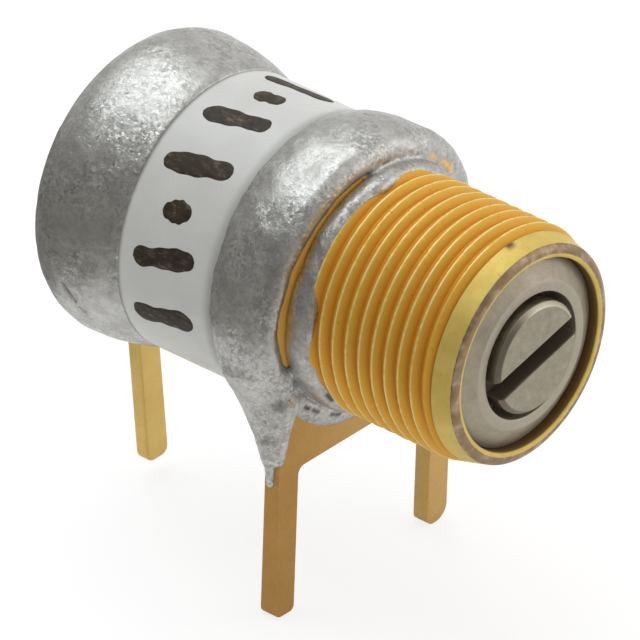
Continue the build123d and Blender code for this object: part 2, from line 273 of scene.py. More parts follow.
# Painted shade: where the depth attribute holds the barrel's share of shade (the socket, the land, the
# foot of the collar, inside the mouth), the nose colour turns dark brown.
nose = mixed(tree, measured(tree, "depth"), nose, (0.16, 0.085, 0.03))
colour = mixed(tree, measured(tree, "thread"), nose, thread_light_and_shade)
worn_edge = maths(tree, "ADD", measured(tree, "worn"), grain(tree, 0.12, 4))
worn_share = ramp(tree, worn_edge, (0.80, 0), (0.98, 1))
scuffs = ramp(tree, grain(tree, 0.35, 4, 0.55), (0.32, (0.25, 0.165, 0.095)),
              (0.50, (0.31, 0.21, 0.125)), (0.68, (0.46, 0.35, 0.25)))
colour = mixed(tree, worn_share, colour, scuffs)
specks = ramp(tree, grain(tree, 0.09, 3, 0.6), (0.26, 1), (0.305, 0))
colour = mixed(tree, specks, colour, (0.16, 0.09, 0.035))
tree.links.new(colour, shader.inputs["Base Color"])
tree.links.new(ramp(tree, worn_share, (0.0, 0.42), (1.0, 0.9)), shader.inputs["Metallic"])
rough = ramp(tree, grain(tree, 0.06, 3), (0.3, 0.48), (0.7, 0.60))
rough = mixed(tree, worn_share, rough, (0.40, 0.40, 0.40))
tree.links.new(rough, shader.inputs["Roughness"])
bumped(tree, shader, (grain(tree, 0.16, 3), 0.006), (grain(tree, 0.03, 2), 0.0016))
bushing.data.materials.append(gold_plate)
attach(bushing, "housing")
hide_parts("threaded_bushing")

# SCREW RETAINER
# A grey plated ring pressed into the bushing's mouth, whose face slopes up to a lip round the screw's
# head. It was faced on a lathe, so faint rings follow the centre line.

# Place along X, radius and share of polish with painted highlight.
retainer_profile = np.array([
    (4.48, 1.58, 0), (5.235, 1.58, 0.2), (5.258, 1.588, 1), (5.27, 1.612, 1), (5.27, 1.70, 0.5),
    (5.269, 1.79, 0.5), (5.264, 1.83, 0.9), (5.252, 1.862, 0.9), (5.232, 1.888, 0.2),
    (5.216, 1.915, 0), (5.11, 2.11, 0), (5.01, 2.325, 0), (4.988, 2.365, 0), (4.972, 2.388, 0),
    (4.94, 2.395, 0), (4.48, 2.395, 0),
])
retainer_columns = 240
retainer = piece_of(
    "retainer",
    [turned(retainer_profile[:, :2], retainer_columns)],
    polish=[np.repeat(retainer_profile[:, 2], retainer_columns)],
)


def vectors(tree, operation, *values, result="Vector"):
    """Vectors joined by an operation into a vector, or into a number where the result is a Value."""
    made = node(tree, "ShaderNodeVectorMath", dict(enumerate(values)), operation=operation)
    return made.outputs[result]


def rings(tree, size_mm):
    """Fine rings round the centre line: a sine of the distance from it."""
    place = node(tree, "ShaderNodeTexCoord").outputs["Object"]
    to_axis = {"Vector": place, "Location": (0, 0, -axis_height * mm), "Scale": (0, 1, 1)}
    flat = node(tree, "ShaderNodeMapping", to_axis).outputs["Vector"]
    far = vectors(tree, "LENGTH", flat, result="Value")
    return maths(tree, "SINE", maths(tree, "MULTIPLY", far, 2 * np.pi / (size_mm * mm)))


grey_plate, tree, shader = new_material("grey_plate")
colour = ramp(tree, grain(tree, 0.35, 4, 0.6),
              (0.3, (0.37, 0.317, 0.238)), (0.7, (0.465, 0.406, 0.306)))
# The lip's edges are painted lighter: polish, with a painted highlight.
colour = mixed(tree, measured(tree, "polish"), colour, (0.45, 0.40, 0.31))
tree.links.new(colour, shader.inputs["Base Color"])
shader.inputs["Metallic"].default_value = 0.7
tree.links.new(ramp(tree, grain(tree, 0.08, 3), (0.3, 0.44), (0.7, 0.56)), shader.inputs["Roughness"])
bumped(tree, shader, (rings(tree, 0.05), 0.0006), (grain(tree, 0.14, 4, 0.6), 0.006),
       (grain(tree, 0.05, 3), 0.003))
retainer.data.materials.append(grey_plate)
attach(retainer, "housing")
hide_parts("screw_retainer")

# ADJUSTING SCREW
# A turned screw, held by its shoulder behind the retainer: bevelled head with a sawn driver slot in
# front, and the lead screw that drives the piston behind.

slot_turn = np.radians(13.7)
slot_half = 0.26
slot_floor = 4.98
head_radius = 1.40


def head_half(side):
    """Half of the slotted head: a D shaped outline carried up the head and drawn in at its bevels."""
    # Place along X, radius, how far the flat is drawn in and the spread from the outline's middle.
    levels = np.array([
        (4.96, 1.40, 0.0, 1), (5.36, 1.40, 0.0, 1), (5.378, 1.396, 0.0, 1), (5.392, 1.386, 0.0, 1),
        (5.458, 1.322, 0.002, 1), (5.470, 1.308, 0.008, 1), (5.478, 1.292, 0.018, 1),
        (5.48, 1.27, 0.032, 1), (5.48, 1.27, 0.032, 0.5), (5.48, 1.27, 0.032, 0),
    ])
    x, radius, draw, spread = (levels[:, k : k + 1] for k in range(4))
    chord = slot_half + draw
    corner = np.arcsin(chord / radius)
    arc = corner + (np.pi - 2 * corner) * np.linspace(0, 1, 72)[None, :]
    flat = np.linspace(-1, 1, 40)[None, 1:-1]
    along = np.concatenate([radius * np.cos(arc), radius * np.cos(corner) * flat], 1)
    out = np.concatenate([radius * np.sin(arc), chord + 0 * flat], 1)
    middle = (slot_half + head_radius) / 2
    along, out = along * spread, side * (middle + (out - middle) * spread)
    y = along * np.cos(slot_turn) - out * np.sin(slot_turn)
    z = axis_height + along * np.sin(slot_turn) + out * np.cos(slot_turn)
    points = np.stack([x + 0 * y, y, z], -1)
    # Painted shade: the slot's walls are painted dark, and so is the bevel on the left side (at 0.75).
    # Painted highlight: the bevel towards the upper right is painted lighter.
    grime = np.concatenate([0 * arc, 1 + 0 * x * flat], 1) * band(5.475, 5.44, x)
    bevel = band(5.37, 5.40, x) * band(1.275, 1.30, radius) * (spread == 1)
    polish = bevel * band(0.2, 0.8, (0.6 * y + 0.8 * (z - axis_height)) / head_radius) * (1 - grime)
    grime = np.maximum(grime, 0.75 * bevel * band(-0.05, -0.7, y / head_radius))
    return points, grid_faces(*points.shape[:2]), grime, polish


shank_profile = np.array([
    (slot_floor, 0), (slot_floor, 0.7), (slot_floor, 1.39), (slot_floor, 1.40), (4.46, 1.40),
    (4.46, 2.0), (4.01, 2.0), (4.01, 0.80), (-3.65, 0.80), (-3.75, 0.70), (-3.75, 0),
])
shank_columns = 160
# Painted shade on the slot's floor.
shank_grime = np.repeat(shank_profile[:, 0] == slot_floor, shank_columns)
upper_half, lower_half = head_half(1), head_half(-1)
screw = piece_of(
    "screw",
    [turned(shank_profile, shank_columns, close=False), upper_half[:2], lower_half[:2]],
    grime=[shank_grime, upper_half[2], lower_half[2]],
    polish=[np.zeros(shank_grime.size), upper_half[3], lower_half[3]],
)

screw_metal, tree, shader = new_material("screw_metal")
colour = ramp(tree, grain(tree, 0.25, 4, 0.6),
              (0.3, (0.285, 0.25, 0.185)), (0.7, (0.375, 0.334, 0.254)))
# Painted highlight on the upper right of the bevel, painted shade in the slot and on the bevel's left
# side.
colour = mixed(tree, measured(tree, "polish"), colour, (0.56, 0.50, 0.39))
colour = mixed(tree, measured(tree, "grime"), colour, (0.10, 0.074, 0.05))
tree.links.new(colour, shader.inputs["Base Color"])
tree.links.new(ramp(tree, measured(tree, "grime"), (0, 1.0), (1, 0.0)), shader.inputs["Metallic"])
tree.links.new(ramp(tree, grain(tree, 0.07, 3), (0.3, 0.34), (0.7, 0.48)), shader.inputs["Roughness"])
bumped(tree, shader, (grain(tree, 0.12, 3), 0.004), (grain(tree, 0.03, 2), 0.0012))
screw.data.materials.append(screw_metal)
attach(screw, "adjuster")
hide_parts("adjusting_screw")

# STOP RING, SPRING WASHER, ROTOR AND STATOR
# Small turned and rolled pieces inside the barrel and the tube, all hidden: the ring that keeps the
# rotor on the screw, the bowed washer under the shoulder, and the two sets of plate rings.


def inner_finish(name, dark, light, rough):
    """Plain turned metal with cloudy colour and fine grain."""
    material, tree, shader = new_material(name)
    colour = ramp(tree, grain(tree, 0.4, 3), (0.3, dark), (0.7, light))
    tree.links.new(colour, shader.inputs["Base Color"])
    shader.inputs["Metallic"].default_value = 1.0
    fine = ramp(tree, grain(tree, 0.06, 2), (0.3, rough - 0.06), (0.7, rough + 0.06))
    tree.links.new(fine, shader.inputs["Roughness"])
    bumped(tree, shader, (grain(tree, 0.05, 2), 0.002))
    return material


inner_brass = inner_finish("inner_brass", (0.66, 0.50, 0.20), (0.78, 0.62, 0.28), 0.34)
spring_metal = inner_finish("spring_metal", (0.52, 0.46, 0.34), (0.64, 0.57, 0.43), 0.32)
for name, material in (("stop_ring", screw_metal), ("spring_washer", spring_metal),
                       ("rotor", inner_brass), ("stator", inner_brass)):
    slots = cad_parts[name].data.materials
    slots.clear()
    slots.append(material)

# CERAMIC TUBE
# The white insulating band: a ground ceramic tube whose ends are soldered to the bushing and to the
# rear closure. It is satin, painted a little grey beside the solder: partly a film of flux, partly
# painted shade where the solder meets it.

tube_radius = 3.46
tube_columns = 360
rear_edge = -4.38
tube_x = np.linspace(-5.40, -0.94, 112)
tube_profile = np.concatenate([
    [(-5.42, 2.78), (-5.42, 3.44)],
    np.stack([tube_x, 0 * tube_x + tube_radius], -1),
    [(-0.92, 3.44), (-0.92, 2.78)],
])


def skirt_edge(deg):
    """Where the front solder ends along X at a turn: a shorter skirt between two smooth steps."""
    return -2.02 + 0.47 * band(20, 75, deg) * band(300, 235, deg)


front_edge = skirt_edge(np.linspace(0, 360, tube_columns, endpoint=False))
front_film = 0.6 * band(front_edge - 0.30, front_edge + 0.02, tube_profile[:, :1])
rear_film = 0.8 * np.exp(-(((tube_profile[:, :1] - rear_edge) / 0.045) ** 2))
tube = piece_of("tube", [turned(tube_profile, tube_columns)], film=[np.maximum(front_film, rear_film)])

white_ceramic, tree, shader = new_material("white_ceramic")
colour = ramp(tree, grain(tree, 1.1, 4, 0.6), (0.3, (0.64, 0.63, 0.60)), (0.7, (0.70, 0.69, 0.66)))
# Painted shade beside the solder, together with its film of flux: a band before the front joint and a
# thin line at the rear edge.
colour = mixed(tree, measured(tree, "film"), colour, (0.25, 0.245, 0.235))
tree.links.new(colour, shader.inputs["Base Color"])
tree.links.new(ramp(tree, grain(tree, 0.2, 3), (0.3, 0.30), (0.7, 0.40)), shader.inputs["Roughness"])
bumped(tree, shader, (grain(tree, 0.9, 2), 0.006), (grain(tree, 0.08, 3), 0.0012))
tube.data.materials.append(white_ceramic)
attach(tube, "housing")
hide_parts("ceramic_tube")

# TERMINALS
# Two lugs stamped from gold plated sheet: the front one has a round eye, a straight board edge and two
# legs, the rear one an eye and a single leg. The stamping left their edges soft.


def round_part(middle, radius, first_deg, last_deg, count):
    """Points on a circle in the Y Z plane from one angle to another."""
    turn = np.radians(np.linspace(first_deg, last_deg, count))
    return np.stack([middle[0] + radius * np.cos(turn), middle[1] + radius * np.sin(turn)], -1)


def stamped(name, fields, sheet, middle_x, lean_deg, lean_top, edge):
    """Sheet made of flat fields in the Y Z plane that share edges: two skins a sheet apart, with walls
    on the edges of one field only. Up to the lean's top it leans in step with the height."""
    corners = np.concatenate(fields)
    flat, number = np.unique(np.round(corners, 5), axis=0, return_inverse=True)
    number = number.ravel()
    bounds = np.cumsum([0] + [len(f) for f in fields])
    loops = [number[a:b] for a, b in zip(bounds[:-1], bounds[1:])]
    sides = np.concatenate([np.stack([loop, np.roll(loop, -1)], -1) for loop in loops])
    count = len(flat)
    code = sides[:, 0] * count + sides[:, 1]
    free = sides[~np.isin(code, sides[:, 1] * count + sides[:, 0])]
    lean = middle_x - np.tan(np.radians(lean_deg)) * np.minimum(flat[:, 1], lean_top)
    front = np.column_stack([lean + sheet / 2, flat])
    back = np.column_stack([lean - sheet / 2, flat])
    faces = [loop.tolist() for loop in loops] + [(loop[::-1] + count).tolist() for loop in loops]
    faces += np.column_stack([free[:, ::-1], free + count]).tolist()
    mesh = bpy.data.meshes.new(name)
    mesh.from_pydata((np.concatenate([front, back]) * mm).tolist(), [], faces)
    mesh.update(calc_edges=True)
    mesh.shade_smooth()
    piece = bpy.data.objects.new(name, mesh)
    bpy.context.scene.collection.objects.link(piece)
    soft = piece.modifiers.new("soft_edges", "BEVEL")
    soft.width = edge * mm
    soft.segments = 3
    soft.limit_method = "ANGLE"
    soft.angle_limit = np.radians(40)
    soft.harden_normals = True
    return piece


def leg(middle_y, width, length, left_round, right_round):
    """Outline of one leg below the board seat, tip corners rounded, anticlockwise from its top left."""
    left, right = middle_y - width / 2, middle_y + width / 2
    return np.concatenate([
        [(left, 0)],
        round_part((left + left_round, -length + left_round), left_round, 180, 270, 9),
        round_part((right - right_round, -length + right_round), right_round, 270, 360, 9),
    ])


eye, eye_hole, outer = 3.382, 2.90, 3.04
leg_inner, root = 2.36, 0.20
shoulder_deg = np.degrees(np.arcsin(np.sqrt(eye**2 - outer**2) / eye))
hub = (0, axis_height)
left_half = np.concatenate([
    [(0, axis_height + eye_hole), (0, axis_height + eye)],
    round_part(hub, eye, 91, 180 + shoulder_deg, 70),
    [(-outer, 0), (-leg_inner + root, 0), (0, 0), (0, axis_height - eye_hole)],
    round_part(hub, eye_hole, 269, 91, 90),
])
right_half = left_half[::-1] * (-1, 1)


def front_leg(side, outer_round, inner_round):
    """Leg with a rounded inner root that meets the board edge, on the left or mirrored to the right."""
    inner_root = round_part((-leg_inner + root, -root), root, 180, 90, 6)
    shape = np.concatenate([leg(-2.70, 0.68, 3.96, outer_round, inner_round), inner_root])
    return shape if side < 0 else shape[::-1] * (-1, 1)


front_fields = [left_half, right_half, front_leg(-1, 0.26, 0.14), front_leg(1, 0.38, 0.22)]
front_sheet, front_lean = 0.44, 2.2
front_lug = stamped("front_lug", front_fields, sheet=front_sheet, middle_x=0,
                    lean_deg=-front_lean, lean_top=8, edge=0.075)

rear_eye, stem = 2.51, 0.37
stem_deg = np.degrees(np.arcsin(stem / rear_eye))
rear_plate = np.concatenate([
    round_part(hub, rear_eye, -90 + stem_deg, 270 - stem_deg, 60), [(-stem, 0), (stem, 0)],
])
rear_leg = np.concatenate([leg(0, 2 * stem, 3.57, 0.24, 0.24), [(stem, 0)]])
rear_lug = stamped("rear_lug", [rear_plate, rear_leg], sheet=0.38, middle_x=-6.74,
                   lean_deg=5.0, lean_top=0, edge=0.07)


def between(tree, place, low_mm, high_mm):
    """Share of the way that a place lies from low to high, 0 to 1."""
    ends = {"Value": place, "From Min": low_mm * mm, "From Max": high_mm * mm}
    return node(tree, "ShaderNodeMapRange", ends).outputs["Result"]


def sheet_finish(name, left, right):
    """Gold plate on rolled sheet: one tone at the left blended into one at the right, and above the
    legs a bright orange, less metallic gold that is a painted reflection of the gold round it."""
    material, tree, shader = new_material(name)
    place = node(tree, "ShaderNodeTexCoord").outputs["Object"]
    place = node(tree, "ShaderNodeSeparateXYZ", {"Vector": place}).outputs
    colour = ramp(tree, between(tree, place["Y"], -2.6, 2.6), (0.0, left), (1.0, right))
    # Painted reflection: above the legs the gold is painted bright orange and made less metallic, for
    # the light thrown back from the gold round it.
    painted_reflection = between(tree, place["Z"], 1.4, 2.4)
    colour = mixed(tree, painted_reflection, colour, (0.98, 0.55, 0.10))
    cloud = ramp(tree, grain(tree, 0.8, 4, 0.6), (0.3, (0.90, 0.88, 0.82)), (0.7, (1.0, 1.0, 1.0)))
    colour = mixed(tree, 1.0, colour, cloud, "MULTIPLY")
    specks = ramp(tree, grain(tree, 0.05, 3, 0.7), (0.25, 1), (0.30, 0))
    colour = mixed(tree, specks, colour, (0.30, 0.19, 0.075))
    tree.links.new(colour, shader.inputs["Base Color"])
    tree.links.new(ramp(tree, painted_reflection, (0.0, 0.85), (1.0, 0.25)), shader.inputs["Metallic"])
    rough = ramp(tree, grain(tree, 0.08, 3), (0.3, 0.40), (0.7, 0.54))
    tree.links.new(rough, shader.inputs["Roughness"])
    rolled = grain(tree, 0.22, 3, 0.6, stretch=(1, 1, 0.35))
    bumped(tree, shader, (rolled, 0.006), (grain(tree, 0.04, 2), 0.0022))
    return material


front_finish = sheet_finish("front_sheet", left=(0.50, 0.285, 0.077), right=(0.64, 0.42, 0.146))
rear_gold = (0.77, 0.54, 0.18)
rear_finish = sheet_finish("rear_sheet", left=rear_gold, right=rear_gold)
for lug, lug_node, finish in ((front_lug, "front_terminal", front_finish),
                              (rear_lug, "rear_terminal", rear_finish)):
    lug.data.materials.append(finish)
    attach(lug, "housing")
    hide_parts(lug_node)

# REAR SOLDER
# Soft solder flowed over the rear closure, the eye of the rear terminal and the end of the ceramic: a
# thick rounded cap with a frosty, mottled skin and a few tool scratches.

cap_radius, corner_radius, widest_x = 3.82, 1.24, -6.12
end_hollow = [
    (-7.055, 0), (-7.055, 1.205), (-6.55, 1.205), (-6.55, 3.29), (-5.43, 3.29), (-5.43, 3.452),
    (-4.42, 3.452),
]
crown_x = np.linspace(-4.45, widest_x, 30)
corner = np.linspace(0.06, np.pi / 2, 28)
corner_rise = cap_radius - corner_radius + corner_radius * np.cos(corner)
end_profile = np.concatenate([
    end_hollow,
    [(-4.392, 3.458), (-4.40, 3.484)],
    np.stack([crown_x, cap_radius - (crown_x - widest_x) ** 2 / 8.9], -1),
    np.stack([widest_x - corner_radius * np.sin(corner), corner_rise], -1),
    np.stack([np.full(12, widest_x - corner_radius), np.linspace(2.4, 0, 12)], -1),
])
cap_columns = 360
end_points, end_faces = turned(end_profile, cap_columns, close=False)


def pressed(points, middle_x, *layers):
    """Points moved from or towards a place on the centre line by noise of (size, height, seed)."""
    way = points - [middle_x, 0, axis_height]
    way /= np.maximum(np.linalg.norm(way, axis=-1, keepdims=True), 1e-6)
    height = sum(tall * lumps(points, size, seed) for size, tall, seed in layers)
    return points + way * height[..., None]


def scratch(first, last, width):
    """Share of a scratch on the cap rolled out flat: a bell across a line between two (X, degrees)."""
    roll_radius = 3.8
    turn = np.degrees(np.arctan2(end_points[..., 2] - axis_height, end_points[..., 1])) % 360
    place = np.stack([end_points[..., 0], np.radians(turn) * roll_radius], -1)
    first, last = (np.array([x, np.radians(deg) * roll_radius]) for x, deg in (first, last))
    way = last - first
    share = np.clip((place - first) @ way / (way @ way), 0, 1)
    away = np.linalg.norm(place - first - share[..., None] * way, axis=-1)
    return np.exp(-((away / width) ** 2))


scratches = scratch((-6.02, 195), (-5.78, 203), 0.055)
scratches = scratches + 0.8 * scratch((-5.72, 206), (-5.58, 208.5), 0.045)
outside = band(3.45, 3.55, end_profile[:, 1]) + band(-6.2, -6.6, end_profile[:, 0])
outside = np.clip(outside, 0, 1) * (np.arange(len(end_profile)) >= len(end_hollow))
lumped = pressed(end_points, -5.6, (1.5, 0.030, 1), (0.55, 0.012, 2), (0.22, 0.006, 3))
drawn_in = np.array([0.9965, 0.992, 0.992]) * (1 - 0.012 * scratches[..., None])
inward = np.array([0, 0, axis_height + 0.03]) + (lumped - [0, 0, axis_height]) * drawn_in
end_place = end_points + (inward - end_points) * outside[:, None, None]
end_cap = piece_of("end_cap", [(end_place, end_faces)], sharp_deg=60, grime=[0.7 * scratches])


def crystals(tree, size_mm):
    """Flat grains of the frozen metal: cells of this size with torn edges, each with a tone and a plane
    tilted its own way."""
    half, tear_size, tear_width = (0.5, 0.5, 0.5), 0.06 * mm, 0.12 * mm
    place = node(tree, "ShaderNodeTexCoord").outputs["Object"]
    torn = node(tree, "ShaderNodeTexNoise", {"Vector": place, "Scale": 1 / tear_size, "Detail": 2.0})
    torn = vectors(tree, "SUBTRACT", torn.outputs["Color"], half)
    place = vectors(tree, "ADD", place, vectors(tree, "MULTIPLY", torn, (tear_width,) * 3))
    cells = {"Vector": place, "Scale": 1 / (size_mm * mm), "Randomness": 1.0}
    cells = node(tree, "ShaderNodeTexVoronoi", cells).outputs
    tone = node(tree, "ShaderNodeSeparateColor", {"Color": cells["Color"]}).outputs["Red"]
    tilt = vectors(tree, "SUBTRACT", cells["Color"], half)
    away = vectors(tree, "SUBTRACT", place, cells["Position"])
    rise = vectors(tree, "DOT_PRODUCT", away, tilt, result="Value")
    return tone, maths(tree, "MULTIPLY", rise, 1 / mm)


solder, tree, shader = new_material("solder")
crystal_tone, crystal_rise = crystals(tree, 0.075)
coarse = ramp(tree, grain(tree, 0.9, 4, 0.6), (0.38, 0.10), (0.64, 0.48))
colour = ramp(tree, grain(tree, 0.55, 5, 0.65), (0.30, (0.39, 0.38, 0.358)),
              (0.52, (0.51, 0.498, 0.472)), (0.70, (0.63, 0.62, 0.59)))
frost = ramp(tree, crystal_tone, (0.0, (0.22, 0.216, 0.206)), (1.0, (0.85, 0.84, 0.81)))
colour = mixed(tree, coarse, colour, frost)
pits = ramp(tree, grain(tree, 0.07, 4, 0.65), (0.25, 1), (0.31, 0))
colour = mixed(tree, pits, colour, (0.16, 0.155, 0.145))
# Dark scratches and stains; on the solder this attribute holds no shade.
colour = mixed(tree, measured(tree, "grime"), colour, (0.07, 0.06, 0.05))
colour = mixed(tree, measured(tree, "gilt"), colour, (0.95, 0.56, 0.10))
tree.links.new(colour, shader.inputs["Base Color"])
shader.inputs["Metallic"].default_value = 1.0
rough = ramp(tree, grain(tree, 0.10, 4, 0.65), (0.3, 0.29), (0.7, 0.47))
tree.links.new(rough, shader.inputs["Roughness"])
crystal_rise = maths(tree, "MULTIPLY", crystal_rise, coarse)
bumped(tree, shader, (grain(tree, 0.28, 4, 0.6), 0.014), (crystal_rise, 0.60),
       (grain(tree, 0.045, 3, 0.6), 0.004))
end_cap.data.materials.append(solder)
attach(end_cap, "housing")
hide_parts("rear_solder")

# FRONT SOLDER
# Soft solder flowed round the front joint: a dome over the edge of the terminal's eye, a bead on the
# first threads, and runs drawn down the outer edges of the legs. A gap shows the terminal's face.

dome_top = -0.52
skirt_x = np.linspace(-2.10, dome_top, 24)
lip_turn = np.linspace(0, 1.5, 16)
dome_outline = np.concatenate([
    [(-2.35, 3.10), (-2.22, 3.36)],
    np.stack([skirt_x, 3.76 - (skirt_x - dome_top) ** 2 / 7.8], -1),
    [(-0.30, 3.763)],
    np.stack([-0.09 + 0.5 * np.sin(lip_turn), 3.26 + 0.5 * np.cos(lip_turn)], -1),
    [(0.40, 3.12), (0.30, 2.95), (0.1, 2.80), (-0.6, 2.80), (-1.4, 3.05)],
])
bead_radius, bead_rise, joint_bore = 2.72, 0.36, 2.66
# Turn in degrees, then the bead's middle and half width along X there.
bead_turns = np.array([
    (0, 0.606, 0.514), (30, 0.586, 0.488), (60, 0.56, 0.43), (78, 0.60, 0.37), (95, 0.69, 0.34),
    (115, 0.69, 0.30), (129, 0.67, 0.30), (141, 0.66, 0.31), (153, 0.68, 0.35), (165, 0.71, 0.41),
    (177, 0.70, 0.43), (189, 0.66, 0.47), (204, 0.68, 0.48), (222, 0.742, 0.533),
    (240, 0.742, 0.559), (300, 0.642, 0.559), (360, 0.606, 0.514),
])
# Turn in degrees, then the radius out to which the terminal's face stayed bare there.
bare_turns = np.array([
    (88, 2.80), (94, 3.06), (104, 3.12), (117, 3.14), (131, 3.13), (146, 3.14), (158, 3.24),
    (168, 3.29), (178, 3.25), (190, 3.15), (199, 3.06), (206, 2.80),
])
face_tilt = np.tan(np.radians(front_lean))


def signed_distance(outline, x, radius):
    """Distance from points of a half plane to the nearest side of a closed outline, negative inside it,
    where a line along X crosses an odd number of sides."""
    nearest = np.full(np.broadcast(x, radius).shape, 1e9)
    inside = np.zeros(nearest.shape, bool)
    for (x0, r0), (x1, r1) in zip(outline, np.roll(outline, -1, 0)):
        dx, dr = x1 - x0, r1 - r0
        t = np.clip(((x - x0) * dx + (radius - r0) * dr) / (dx * dx + dr * dr), 0, 1)
        nearest = np.minimum(nearest, np.hypot(x - x0 - t * dx, radius - r0 - t * dr))
        crosses = (r0 > radius) != (r1 > radius)
        inside ^= crosses & (x < x0 + (radius - r0) * dx / (dr if dr else 1))
    return np.where(inside, -nearest, nearest)


class Section:
    """Outline of a turned solid, kept as a table of signed distances."""

    def __init__(self, outline, low, high, step=0.0125):
        """Signed distances on a grid of this step, from the low corner to the high one."""
        self.low, self.step = np.array(low), step
        x = np.arange(low[0], high[0], step)
        radius = np.arange(low[1], high[1], step)
        self.table = signed_distance(outline, x[:, None], radius[None, :])

    def at(self, x, radius):
        """Distance at any place: the table's four nearest values, blended in step with the place."""
        size = np.array(self.table.shape) - 2
        u = np.clip((x - self.low[0]) / self.step, 0, size[0])
        v = np.clip((radius - self.low[1]) / self.step, 0, size[1])
        i, j = u.astype(int), v.astype(int)
        u, v = u - i, v - j
        t = self.table
        inner_row = t[i, j] * (1 - u) + t[i + 1, j] * u
        outer_row = t[i, j + 1] * (1 - u) + t[i + 1, j + 1] * u
        return inner_row * (1 - v) + outer_row * v


dome_section = Section(dome_outline, (-3.2, 1.6), (2.2, 6.6))


def joined(a, b, soft):
    """Union of two distances: the smaller, rounded off where they differ by less than the fillet."""
    share = np.clip(0.5 + 0.5 * (b - a) / soft, 0, 1)
    return b + (a - b) * share - soft * share * (1 - share)


def drop(points, first, last, first_radius, last_radius):
    """Distance to a tapered rod with round ends: to its line, less the radius at the nearest place."""
    way = np.array(last) - first
    place = points - first
    t = np.clip(place @ way / (way @ way), 0, 1)
    radius = first_radius + (last_radius - first_radius) * t
    return np.linalg.norm(place - t[..., None] * way, axis=-1) - radius


def front_mass(points):
    """Distance field of the whole joint: dome, bead and runs joined softly. On the open side the dome's
    lip and the bead keep apart, so the gold shows between them."""
    x, y, z = points[..., 0], points[..., 1], points[..., 2] - axis_height
    radius, turn = np.hypot(y, z), np.degrees(np.arctan2(z, y)) % 360
    wave = lumps(np.stack([y, z, 0 * y], -1) * (3.5 / np.maximum(radius, 0.1))[..., None], 0.9, 4)
    edge = skirt_edge(turn) + 0.05 * wave
    stretch = 1.5 / (dome_top - edge)
    lip = np.clip(0.045 + face_tilt * z, 0, None) * band(-0.3, 0.2, x)
    dome = dome_section.at(np.where(x < dome_top, dome_top + (x - dome_top) * stretch, x - lip), radius)
    face = front_sheet / 2 + face_tilt * (z + axis_height)
    bare = radius - np.interp(turn, bare_turns[:, 0], bare_turns[:, 1]) + 0.02 * wave
    dome = np.maximum(dome, (x - face + 0.005 - 0.38 * bare) / 1.07)
    middle = np.interp(turn, bead_turns[:, 0], bead_turns[:, 1]) + 0.03 * wave
    half = np.interp(turn, bead_turns[:, 0], bead_turns[:, 2]) + 0.015 * np.sin(np.radians(turn) * 9)
    bead = np.abs((x - middle) / half) ** 2.5 + np.abs((radius - bead_radius) / bead_rise) ** 2.5
    bead = (bead**0.4 - 1) * half
    parted = band(88, 98, turn) * band(207, 197, turn)
    mass = joined(dome, bead, 0.10 - 0.085 * parted)
    crack = band(190, 197, turn) * band(222, 210, turn) * band(2.9, 3.1, radius)
    mass += 0.03 * crack * np.exp(-(((dome - bead) / 0.05) ** 2))
    mass = np.maximum(mass, joint_bore - radius)
    for side in (-1, 1):
        web = drop(points, (-0.10, side * 3.00, 0.55), (-0.55, side * 2.75, 2.60), 0.20, 0.85)
        run = drop(points, (-0.05, side * 3.03, -0.24), (-0.08, side * 3.00, 0.90), 0.09, 0.24)
        mass = joined(mass, joined(web, run, 0.2), 0.30)
    finger = drop(points, (0.18, -2.98, 0.46), (0.15, -2.86, 1.9), 0.10, 0.34)
    mass = joined(mass, finger, 0.25)
    fold = np.exp(-((x + 1.36) / 0.06) ** 2) + 0.8 * np.exp(-((x + 1.14 + 0.02 * wave) / 0.07) ** 2)
    mass -= 0.035 * fold * band(165, 182, turn) * band(226, 212, turn)
    uneven = 0.022 * lumps(points, 0.9, 5) + 0.012 * lumps(points, 0.35, 6)
    return mass - (uneven + 0.005 * lumps(points, 0.15, 7))


def skin(field, low, high, step):
    """Surface where a field is zero: every grid cell that it crosses gets a point at the mean of the
    crossings on its edges, every crossed grid edge a face, and the points slide along the slope to
    zero."""
    axes = [np.arange(a, b, step) for a, b in zip(low, high)]
    values = field(np.stack(np.meshgrid(*axes, indexing="ij"), -1))
    inside = values < 0
    cells = np.array(values.shape) - 1
    total, count = np.zeros((*cells, 3)), np.zeros(cells)
    edges = []
    for axis in range(3):
        ahead = [slice(None)] * 3
        behind = [slice(None)] * 3
        ahead[axis], behind[axis] = slice(1, None), slice(None, -1)
        f0, f1 = values[tuple(behind)], values[tuple(ahead)]
        at = np.argwhere(inside[tuple(behind)] != inside[tuple(ahead)])
        others = [k for k in range(3) if k != axis]
        at = at[((at[:, others] > 0) & (at[:, others] < cells[others])).all(1)]
        f0, f1 = f0[tuple(at.T)], f1[tuple(at.T)]
        place = at.astype(float)
        place[:, axis] += f0 / (f0 - f1)
        ring = []
        for shift in ((0, 0), (1, 0), (1, 1), (0, 1)):
            cell = at.copy()
            cell[:, others] -= shift
            np.add.at(total, tuple(cell.T), place)
            np.add.at(count, tuple(cell.T), 1)
            ring.append(np.ravel_multi_index(cell.T, cells))
        edges.append(np.stack(ring, -1))
    used = np.flatnonzero(count.ravel())
    number = np.zeros(count.size, int)
    number[used] = np.arange(len(used))
    points = np.array(low) + step * total.reshape(-1, 3)[used] / count.ravel()[used, None]
    for _ in range(3):
        here = field(points)
        nudge = 0.2 * step * np.eye(3)
        slope = np.stack([field(points + d) - field(points - d) for d in nudge], -1) / (0.4 * step)
        move = -here[:, None] * slope / np.maximum((slope**2).sum(-1, keepdims=True), 0.25)
        points = points + np.clip(move, -0.5 * step, 0.5 * step)
    return points, number[np.concatenate(edges)]


